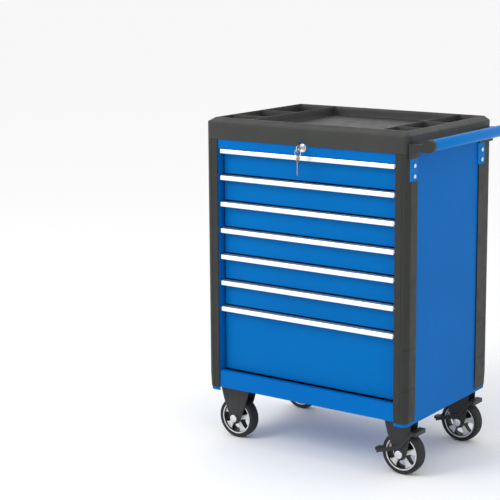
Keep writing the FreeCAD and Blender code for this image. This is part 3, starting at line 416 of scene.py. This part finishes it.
# ---- Drawers --------------------------------------------------------------------
# Each drawer is one folded steel box in the same blue. Its front is a plain panel with
# turned edges, and an extruded aluminium strip, bright anodised, is pressed along the
# whole top edge as the pull. Zinc-plated runners are riveted to both sides.
def bright_anodised(name):
    """Bright aluminium: fine drawing lines along the extrusion and a near-white base."""
    material, shader = new_finish(name, (0.86, 0.87, 0.88), 0.30, 0.85)
    varied(material, shader, "Roughness", speckle(material, 900.0, 2.0, (0.02, 1.0, 1.0)), 0.24, 0.38)
    embossed(material, shader, (speckle(material, 1500.0, 2.0, (0.01, 1.0, 1.0)), 0.00001))
    return material


def zinc_plate(name, shade, light, roughness):
    """Bright zinc plating: cloudy patches of grey over brushed steel."""
    material, shader = new_finish(name, light, roughness, 0.9)
    varied(material, shader, "Base Color", speckle(material, 90.0, 4.0), shade, light)
    varied(material, shader, "Roughness", speckle(material, 220.0), roughness - 0.07, roughness + 0.1)
    return material


drawer_blue = powder_coat("drawer_blue", (0.0, 0.124, 0.400), (0.0, 0.138, 0.435), 0.40)
strip_aluminium = bright_anodised("strip_aluminium")
runner_zinc = zinc_plate("runner_zinc", (0.50, 0.51, 0.53), (0.60, 0.61, 0.63), 0.35)


def arcs(corners, radii, steps=5):
    """Outline whose corners are replaced by arcs. Each arc touches both sides of its corner
    at a distance of radius times the tangent of half the turn."""
    corners = np.array(corners, float)
    found = []
    for k, (corner, radius) in enumerate(zip(corners, radii)):
        before, after = corners[k - 1] - corner, corners[(k + 1) % len(corners)] - corner
        before, after = before / np.linalg.norm(before), after / np.linalg.norm(after)
        half_angle = math.acos(np.clip(before @ after, -1, 1)) / 2
        if radius <= 0 or half_angle > 1.5:
            found.append(corner[None])
            continue
        start = corner + before * radius / math.tan(half_angle)
        end = corner + after * radius / math.tan(half_angle)
        middle = before + after
        centre = corner + middle / np.linalg.norm(middle) * radius / math.sin(half_angle)
        share = np.linspace(0, 1, steps)[:, None]
        swing = math.pi - 2 * half_angle
        arm_a, arm_b = start - centre, end - centre
        arm = (arm_a * np.sin((1 - share) * swing) + arm_b * np.sin(share * swing)) / math.sin(swing)
        found.append(centre + arm)
    return np.concatenate(found)


def bar(name, outline, places, sharp=35.0):
    """An outline carried through a list of frames: at each place the outline's two numbers
    become a point by that place's rule, and the first and last outlines are closed flat."""
    rings = np.stack([place(outline) for place in places])
    count = len(outline)
    index = np.arange(rings.shape[0] * count).reshape(rings.shape[0], count)
    ahead = np.roll(index, -1, axis=1)
    sides = np.stack([index[:-1], ahead[:-1], ahead[1:], index[1:]], -1).reshape(-1, 4)
    faces = sides.tolist() + [index[0].tolist(), index[-1][::-1].tolist()]
    mesh = bpy.data.meshes.new(name)
    mesh.from_pydata(rings.reshape(-1, 3).tolist(), [], faces)
    return finished_mesh(name, mesh, sharp)


def grip_strip(index):
    """Hooked section, rounded at the nose, carried along the drawer's width; the last
    millimetre at each end is drawn in slightly, as on a deburred saw cut."""
    node = "drawer_strip_" + str(index)
    low, high = (np.array(corner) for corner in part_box(node))
    wall = 0.0022
    depth, height = high[1] - low[1], high[2] - low[2]
    seat = depth - 0.0012
    corners = [(0, 0), (0, height), (depth, height), (depth, height - wall), (seat, height - wall), (seat, 0),
               (seat - 0.0018, 0), (seat - 0.0018, height - wall), (wall, height - wall), (wall, 0)]
    radii = [0.0009, 0.0035, 0.0004, 0.0003, 0.0002, 0.0004, 0.0006, 0.0015, 0.0012, 0.0009]
    outline = arcs(corners, radii, 6)
    middle = np.array([depth / 2, height / 2])

    def at(x, shrink):
        """Rule that stands the section at one place along X, drawn in by a share of itself."""
        def place(section):
            section = middle + (section - middle) * (1 - shrink)
            return np.column_stack([np.full(len(section), x), low[1] + section[:, 0], low[2] + section[:, 1]])
        return place

    stations = [at(low[0], 0.04), at(low[0] + 0.0006, 0.0), at(high[0] - 0.0006, 0.0), at(high[0], 0.04)]
    fitted(bar("strip_" + str(index), outline, stations), strip_aluminium, node)


for index in range(1, 8):
    rounded_copy("drawer_box_" + str(index), drawer_blue, 0.0005)
    rounded_copy("drawer_runners_" + str(index), runner_zinc, 0.0002, 1)
    grip_strip(index)
rounded_copy("slide_channels", runner_zinc, 0.0002, 1)


# ---- Push handle ----------------------------------------------------------------
# A blue powder-coated steel tube between two black moulded arms with round cups over
# its ends. Each arm is bolted through a blue steel plate to the side of the cabinet.
handle_blue = powder_coat("handle_blue", (0.0, 0.155, 0.50), (0.0, 0.175, 0.54), 0.32)
bolt_zinc = zinc_plate("bolt_zinc", (0.60, 0.61, 0.62), (0.78, 0.79, 0.80), 0.28)


def turned(outline, axle, steps=96):
    """An outline of (radius, place along the axle) turned once round an axle along Y."""
    angle = np.linspace(0, 2 * math.pi, steps + 1)
    radius, along = outline[:, :1], outline[:, 1:]
    return np.stack([axle[0] + radius * np.cos(angle), axle[1] + along + 0 * angle,
                     axle[2] + radius * np.sin(angle)], -1)


def closed(outline):
    """The outline with its first point again at its end."""
    return np.vstack([outline, outline[:1]])


tube_low, tube_high = (np.array(corner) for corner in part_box("handle_tube"))
tube_radius, tube_half = (tube_high[2] - tube_low[2]) / 2, (tube_high[1] - tube_low[1]) / 2
tube_bore = tube_radius - 0.0015
tube_section = arcs([(tube_bore, -tube_half), (tube_radius, -tube_half), (tube_radius, tube_half),
                     (tube_bore, tube_half)], [0.0003] * 4, 4)
tube = skin("handle_tube_wall", turned(closed(tube_section), (tube_low + tube_high) / 2))
fitted(tube, handle_blue, "handle_tube")
rounded_copy("handle_arms", post_black, 0.0016, 3)
rounded_copy("handle_plates", handle_blue, 0.0006)
rounded_copy("handle_bolts", bolt_zinc, 0.0009, 3)


# ---- Lock -----------------------------------------------------------------------
# A chromed cylinder lock in the rail over the drawers, with a key in it and a second
# key hung on a split ring. The cam on its tail moves a zinc-plated bar behind the drawers.
chrome, chrome_shader = new_finish("chrome", (0.80, 0.81, 0.82), 0.12, 1.0)
varied(chrome, chrome_shader, "Roughness", speckle(chrome, 150.0), 0.08, 0.16)
key_brass = zinc_plate("key_brass", (0.50, 0.38, 0.20), (0.66, 0.54, 0.34), 0.28)
key_nickel = zinc_plate("key_nickel", (0.52, 0.44, 0.30), (0.66, 0.58, 0.42), 0.30)
rounded_copy("lock_housing", chrome, 0.0008, 3)
rounded_copy("lock_plug", chrome, 0.0003)
rounded_copy("key", key_nickel, 0.0004)


def hoop(centre, radius, wire):
    """Round wire bent into a ring that stands in the plane of X and Z."""
    along = np.linspace(0, 2 * math.pi, 65)[:, None]
    around = np.linspace(0, 2 * math.pi, 13)
    reach = radius + wire * np.cos(around)
    return np.stack([centre[0] + reach * np.sin(along), centre[1] + wire * np.sin(around) + 0 * along,
                     centre[2] + reach * np.cos(along)], -1)


ring_low, ring_high = (np.array(corner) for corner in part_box("key_ring"))
ring_wire = (ring_high[1] - ring_low[1]) / 2
ring_radius = (ring_high[2] - ring_low[2]) / 2 - ring_wire
fitted(skin("key_ring_wire", hoop((ring_low + ring_high) / 2, ring_radius, ring_wire)), chrome, "key_ring")


def spare_key():
    """A second key, hung on the ring by the hole in its bow: a round bow, a shank and a
    blade with three cuts along one edge, all one flat blank that stands across the ring."""
    thick, bow_radius, length, shank = 0.0018, 0.0095, 0.046, 0.0030
    hole_above_bow_centre = 0.0055
    bow_z = ring_low[2] + ring_wire - hole_above_bow_centre
    middle_y = (ring_low[1] + ring_high[1]) / 2
    swing = np.linspace(math.radians(-72), math.radians(252), 40)
    bow = np.column_stack([bow_radius * np.cos(swing), bow_radius * np.sin(swing)])
    cuts = [(shank, -0.040), (0.0016, -0.038), (shank, -0.035), (0.0012, -0.032), (shank, -0.029),
            (0.0018, -0.026), (shank, -0.023)]
    tip = [(-shank, -length), (0.0, -length - 0.003), (shank, -length)]
    outline = np.vstack([bow, [(-shank, -0.012)], tip, cuts, [(shank, -0.012)]])

    def at(x):
        """Rule that stands the flat outline across the ring at one place along X."""
        return lambda flat: np.column_stack([np.full(len(flat), x), middle_y + flat[:, 0],
                                             bow_z + flat[:, 1]])

    middle_x = (ring_low[0] + ring_high[0]) / 2
    piece = bar("spare_key", outline, [at(middle_x - thick / 2), at(middle_x + thick / 2)])
    piece.data.materials.append(key_brass)
    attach(piece, "key_ring")


spare_key()
rounded_copy("lock_bar", runner_zinc, 0.0003, 1)


# ---- Wheels ---------------------------------------------------------------------
# Each wheel is a rim with five spokes in one piece with its hub, silver on the faces that look
# outwards and black on every other face: painted shade in the spoke openings and along the
# spoke sides. Round it is a moulded black rubber tyre with two fine grooves in a slightly crowned tread.
tyre_rubber = moulded_black("tyre_rubber", (0.013, 0.014, 0.014), (0.022, 0.023, 0.023), 0.62)
# Black for every rim face turned away from the sides: painted shade in the spoke openings and on the spoke
# sides.
rim_black_painted_shade = moulded_black("rim_black_painted_shade", (0.012, 0.013, 0.013), (0.018, 0.019, 0.019), 0.5)
rim_silver, rim_shader = new_finish("rim_silver", (0.60, 0.61, 0.62), 0.34, 0.25)
varied(rim_silver, rim_shader, "Roughness", speckle(rim_silver, 300.0), 0.28, 0.42)
embossed(rim_silver, rim_shader, (speckle(rim_silver, 900.0), 0.00002))
tyre_wall = 0.0125
tread_crown, tread_shoulder = 0.0010, 0.0055
tread_groove_place, tread_groove_half_width, tread_groove_depth = 0.0062, 0.0011, 0.0012
rim_half = 0.0165
rim_lip, rim_flare, rim_thickness, lip_width = 0.0034, 0.0046, 0.0056, 0.0030
wheel_hub_radius, wheel_bore, hub_chamfer, hub_shoulder = 0.013, 0.00505, 0.0015, 0.004
spoke_half_width, spoke_half_depth = 0.0062, 0.0108
silver_from = 0.42


def tyre(node):
    """Closed section turned round the axle: bead, sidewall with a moulding line, rounded
    shoulder, and a tread whose radius falls away with the square of the distance across."""
    low, high = (np.array(corner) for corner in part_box(node))
    axle, radius, half = (low + high) / 2, (high[2] - low[2]) / 2, (high[1] - low[1]) / 2
    bead = radius - tyre_wall
    tread_half = half - tread_shoulder
    across = np.linspace(-tread_half, tread_half, 61)
    from_groove = np.abs(np.abs(across) - tread_groove_place)
    groove = np.clip(1 - from_groove / tread_groove_half_width, 0, 1) * tread_groove_depth
    tread = np.column_stack([radius - tread_crown * (across / tread_half) ** 2 - groove, across])
    swing = np.linspace(0, math.pi / 2, 7)[1:-1]
    shoulder = np.column_stack([radius - tread_crown - tread_shoulder * (1 - np.cos(swing)),
                                tread_half + tread_shoulder * np.sin(swing)])
    side = np.array([[radius - 0.0070, half], [radius - 0.0086, half], [radius - 0.0090, half - 0.0004],
                     [radius - 0.0094, half], [bead + 0.0008, half - 0.0002], [bead, half - 0.0012]])
    right = np.vstack([shoulder, side])
    left = right[::-1] * [1, -1]
    fitted(skin(node + "_rubber", turned(closed(np.vstack([left, tread, right])), axle)), tyre_rubber, node)


def rim(node, first_spoke):
    """A barrel and a hub turned round the axle, and five spokes between them. Across a
    spoke the section is a squared oval; its width grows by an exponential at both ends,
    which rounds the corners of the openings, and its depth swells towards the hub."""
    low, high = (np.array(corner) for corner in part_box(node))
    axle, radius, half = (low + high) / 2, (high[2] - low[2]) / 2, rim_half
    hub_radius, hub_half, bore = wheel_hub_radius, (high[1] - low[1]) / 2, wheel_bore
    barrel = arcs([(radius, -half), (radius, half), (radius - rim_lip, half),
                   (radius - rim_flare, half - lip_width), (radius - rim_thickness, 0.0),
                   (radius - rim_flare, -half + lip_width), (radius - rim_lip, -half)],
                  [0.0003, 0.0003, 0.0010, 0.003, 0.02, 0.003, 0.0010], 5)
    hub = arcs([(bore, -hub_half), (hub_radius - hub_chamfer, -hub_half),
                (hub_radius, -hub_half + hub_shoulder), (hub_radius, hub_half - hub_shoulder),
                (hub_radius - hub_chamfer, hub_half), (bore, hub_half)],
               [0.0003, 0.0012, 0.002, 0.002, 0.0012, 0.0003], 4)
    sheets = [turned(closed(barrel), axle), turned(closed(hub), axle)]
    out = np.linspace(hub_radius - 0.002, radius - 0.0045, 26)[:, None]
    around = np.linspace(0, 2 * math.pi, 33)
    root, tip = out - hub_radius, radius - 0.0052 - out
    width = spoke_half_width + 0.0035 * np.exp(-root / 0.004) + 0.0085 * np.exp(-np.maximum(tip, 0) / 0.0042)
    width = width + 0.0030 * np.clip(root / 0.030, 0, 1)
    depth = spoke_half_depth + 0.0050 * np.exp(-root / 0.006)
    squared = np.sign(np.cos(around)) * np.abs(np.cos(around)) ** 0.35
    crowned = np.sign(np.sin(around)) * np.abs(np.sin(around)) ** 0.35
    for k in range(5):
        angle = first_spoke + k * 2 * math.pi / 5
        aside, along = width * squared, depth * crowned
        x = axle[0] + out * math.cos(angle) - aside * math.sin(angle)
        z = axle[2] + out * math.sin(angle) + aside * math.cos(angle)
        spoke = np.stack([x, axle[1] + along, z], -1)
        ends = [np.stack([spoke[row], np.broadcast_to(spoke[row, :-1].mean(axis=0), spoke[row].shape)])
                for row in (0, -1)]
        sheets += [spoke, *ends]
    wheel = fitted(skin(node + "_cast", *sheets, sharp=40.0), rim_silver, node)
    wheel.data.materials.append(rim_black_painted_shade)
    facing = np.empty(len(wheel.data.polygons) * 3)
    wheel.data.polygons.foreach_get("normal", facing)
    # Faces turned less than silver_from towards the sides get the black, which paints shade into the openings
    # and along the spoke sides.
    wheel.data.polygons.foreach_set("material_index", (np.abs(facing[1::3]) < silver_from).astype(np.int32))


for end in ("front", "rear"):
    for kind, first_spoke in (("fixed", math.radians(8)), ("swivel", math.radians(-60))):
        tyre("tyre_" + kind + "_" + end)
        rim("rim_" + kind + "_" + end, first_spoke)


# ---- Caster forks ---------------------------------------------------------------
# Pressed steel forks painted black. Each leg is a plate that narrows from a broad top to
# a round foot at the axle, with its edges turned in and a raised rib down the middle.
# The left pair is bolted straight under the floor; the right pair turns on a kingpin.
fork_black = moulded_black("fork_black", (0.018, 0.019, 0.019), (0.028, 0.029, 0.029), 0.38)
leg_foot_radius, leg_sheet, leg_bulge = 0.019, 0.0025, 0.0035
rib_height, edge_turn = 0.0010, 0.0014
leg_out = 0.024
flange_thickness, flange_half_width, flange_corner = 0.003, 0.045, 0.008
stud_radius, stud_in, stud_out, stud_rise = 0.004, 0.003, 0.0042, 0.020
bridge_inset, bridge_thickness, bridge_corner = 0.001, 0.004, 0.006
crown_radius, crown_trail, crown_low, crown_high = 0.0235, 0.022, 0.0078, 0.0035
leg_gap = 0.0008


def pressed_leg(x0, x1, top_z, axle, out_y, side):
    """Over the height z the leg's sides run down to the foot, bulging by a sine, and then
    round it. Over the width s, from -1 to 1, the outer face steps back by smooth steps:
    one beside the rib, one at the turned edge. The inner face is one thickness further in."""
    foot, thick = leg_foot_radius, leg_sheet
    straight = np.linspace(top_z, axle[2], 14)[:-1]
    swing = np.linspace(0, math.pi / 2, 10)
    z = np.concatenate([straight, axle[2] - foot * np.sin(swing)])[:, None]
    share = np.clip((z - axle[2]) / (top_z - axle[2]), 0, 1)
    bow = -leg_bulge * np.sin(math.pi * share)
    round_off = foot * np.sqrt(np.clip(1 - (np.minimum(z - axle[2], 0) / foot) ** 2, 0, 1))
    left = axle[0] - foot + (x0 - axle[0] + foot) * share + bow
    right = axle[0] + foot + (x1 - axle[0] - foot) * share - bow
    left = np.where(z >= axle[2], left, axle[0] - round_off)
    right = np.where(z >= axle[2], right, axle[0] + round_off)
    s = np.linspace(-1, 1, 41)

    def step(start, end):
        """Smooth step of the distance from the leg's middle line."""
        t = np.clip((np.abs(s) - start) / (end - start), 0, 1)
        return t * t * (3 - 2 * t)

    x = (left + right) / 2 + (right - left) / 2 * s
    relief = rib_height * step(0.34, 0.48) + edge_turn * step(0.80, 1.0) ** 2
    outer = np.stack([x, axle[1] + side * (out_y - relief + 0 * x), z + 0 * x], -1)
    inner = outer - [0, side * thick, 0]
    wall = np.concatenate([outer, inner[:, ::-1], outer[:, :1]], axis=1)
    return [wall, np.stack([outer[0], inner[0]])]


def closed_rows(sheet):
    """Every row of a grid with its first point again at its end."""
    return np.concatenate([sheet, sheet[:, :1]], axis=1)


def slab(outline, z0, z1, soft=0.0006):
    """Flat plate: an outline in plan between two heights, its rims drawn in a little and
    both faces closed to the middle."""
    middle = outline.mean(axis=0)
    smaller = middle + (outline - middle) * (1 - soft / np.abs(outline - middle).max())
    rows = [(np.broadcast_to(middle, outline.shape), z0), (smaller, z0), (outline, z0 + soft),
            (outline, z1 - soft), (smaller, z1), (np.broadcast_to(middle, outline.shape), z1)]
    return closed_rows(np.stack([np.column_stack([plan, np.full(len(plan), z)]) for plan, z in rows]))


def rounded_box(x0, x1, y0, y1, radius):
    """Plan of a box with four rounded corners."""
    return arcs([(x0, y0), (x1, y0), (x1, y1), (x0, y1)], [radius] * 4, 6)


axles = {name: (np.array(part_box("rim_" + name)[0]) + np.array(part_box("rim_" + name)[1])) / 2
         for name in ("fixed_front", "fixed_rear", "swivel_front", "swivel_rear")}
fork_low, fork_high = (np.array(corner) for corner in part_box("fixed_forks"))
sheets = []
for end in ("front", "rear"):
    axle = axles["fixed_" + end]
    x0, x1 = fork_low[0], fork_high[0]
    under_flange = fork_high[2] - flange_thickness
    for side in (-1, 1):
        sheets += pressed_leg(x0, x1, under_flange, axle, leg_out, side)
    flange = rounded_box(x0, x1, axle[1] - flange_half_width, axle[1] + flange_half_width, flange_corner)
    sheets.append(slab(flange, under_flange, fork_high[2]))
fitted(skin("fixed_fork_pressings", *sheets, sharp=40.0), fork_black, "fixed_forks")

for end in ("front", "rear"):
    node = "swivel_fork_" + end
    low, high = (np.array(corner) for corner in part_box(node))
    axle = axles["swivel_" + end]
    sheets = []
    for side in (-1, 1):
        sheets += pressed_leg(low[0], high[0], high[2] - leg_gap, axle, leg_out, side)
        root, tip = leg_out - stud_in, leg_out + stud_out
        stud = arcs([(0.0, root), (stud_radius, root), (stud_radius, tip), (0.0, tip)],
                    [0, 0, 0.0008, 0], 4) * [1, side]
        sheets.append(turned(stud, axle + [0, 0, stud_rise], 32))
    bridge_half = leg_out - bridge_inset
    bridge = rounded_box(low[0] + bridge_inset, high[0] - bridge_inset,
                         axle[1] - bridge_half, axle[1] + bridge_half, bridge_corner)
    sheets.append(slab(bridge, high[2] - bridge_thickness, high[2]))
    kingpin = np.array([axle[0] - crown_trail, axle[1]])
    circle = np.linspace(0, 2 * math.pi, 65)[:-1]
    crown = kingpin + crown_radius * np.column_stack([np.cos(circle), np.sin(circle)])
    sheets.append(slab(crown, high[2] - crown_low, high[2] - crown_high))
    fitted(skin(node + "_pressing", *sheets, sharp=40.0), fork_black, node)


# ---- Caster hardware ------------------------------------------------------------
# Zinc-plated plates, mounting bolts and axle bolts, and the pressed brake levers, which
# straddle the swivel forks with a pedal at one end and a toe tab at the other.
rounded_copy("fixed_axles", bolt_zinc, 0.0014, 3)
rounded_copy("swivel_plates", runner_zinc, 0.0006)
rounded_copy("caster_bolts", bolt_zinc, 0.0006)
for end in ("front", "rear"):
    rounded_copy("swivel_axle_" + end, bolt_zinc, 0.0014, 3)
    rounded_copy("brake_lever_" + end, fork_black, 0.0011, 3)


# ---- Floor, light and camera ----------------------------------------------------
# A plain white studio floor, a broad soft light from the front left, a weaker one
# from the right and an even white surround.
floor_white, floor_shader = new_finish("floor_white", (0.93, 0.93, 0.93), 0.95)
varied(floor_white, floor_shader, "Roughness", speckle(floor_white, 4.0), 0.86, 0.94)
floor_mesh = bpy.data.meshes.new("floor")
floor_mesh.from_pydata([(-40, -40, 0), (40, -40, 0), (40, 40, 0), (-40, 40, 0)], [], [(0, 1, 2, 3)])
floor = bpy.data.objects.new("floor", floor_mesh)
floor_mesh.materials.append(floor_white)
bpy.context.scene.collection.objects.link(floor)

world = bpy.data.worlds.new("studio")
world.use_nodes = True
world.node_tree.nodes["Background"].inputs["Color"].default_value = (1.0, 1.0, 1.0, 1.0)
world.node_tree.nodes["Background"].inputs["Strength"].default_value = 1.0
bpy.context.scene.world = world


def soft_light(name, place, aim, size, power):
    """Square lamp turned to face a point."""
    lamp = bpy.data.lights.new(name, "AREA")
    lamp.size = size
    lamp.energy = power
    holder = bpy.data.objects.new(name, lamp)
    direction = mathutils.Vector(aim) - mathutils.Vector(place)
    facing = direction.to_track_quat("-Z", "Y").to_matrix().to_4x4()
    holder.matrix_world = mathutils.Matrix.Translation(place) @ facing
    bpy.context.scene.collection.objects.link(holder)
    return holder


key_light = soft_light("key_light", (-1.6, -3.0, 3.0), (0.0, 0.0, 0.5), 1.8, 66.0)
fill_light = soft_light("fill_light", (3.4, -1.0, 1.8), (0.2, 0.0, 0.5), 1.8, 5.0)

focal, sensor = 105.7, 36.0
camera_data = bpy.data.cameras.new("camera")
camera_data.lens = focal
camera_data.sensor_width = sensor
camera_data.shift_x = -0.03
camera_data.shift_y = -0.09
camera = bpy.data.objects.new("camera", camera_data)
turn = mathutils.Matrix.Rotation(math.radians(35.34), 4, "Z")
tilt = mathutils.Matrix.Rotation(math.radians(90 - 9.78), 4, "X")
roll = mathutils.Matrix.Rotation(math.radians(-0.33), 4, "Z")
camera.matrix_world = mathutils.Matrix.Translation((2.2395, -3.627, 1.458)) @ turn @ tilt @ roll
bpy.context.scene.collection.objects.link(camera)
bpy.context.scene.camera = camera
bpy.context.scene.view_settings.view_transform = "Standard"
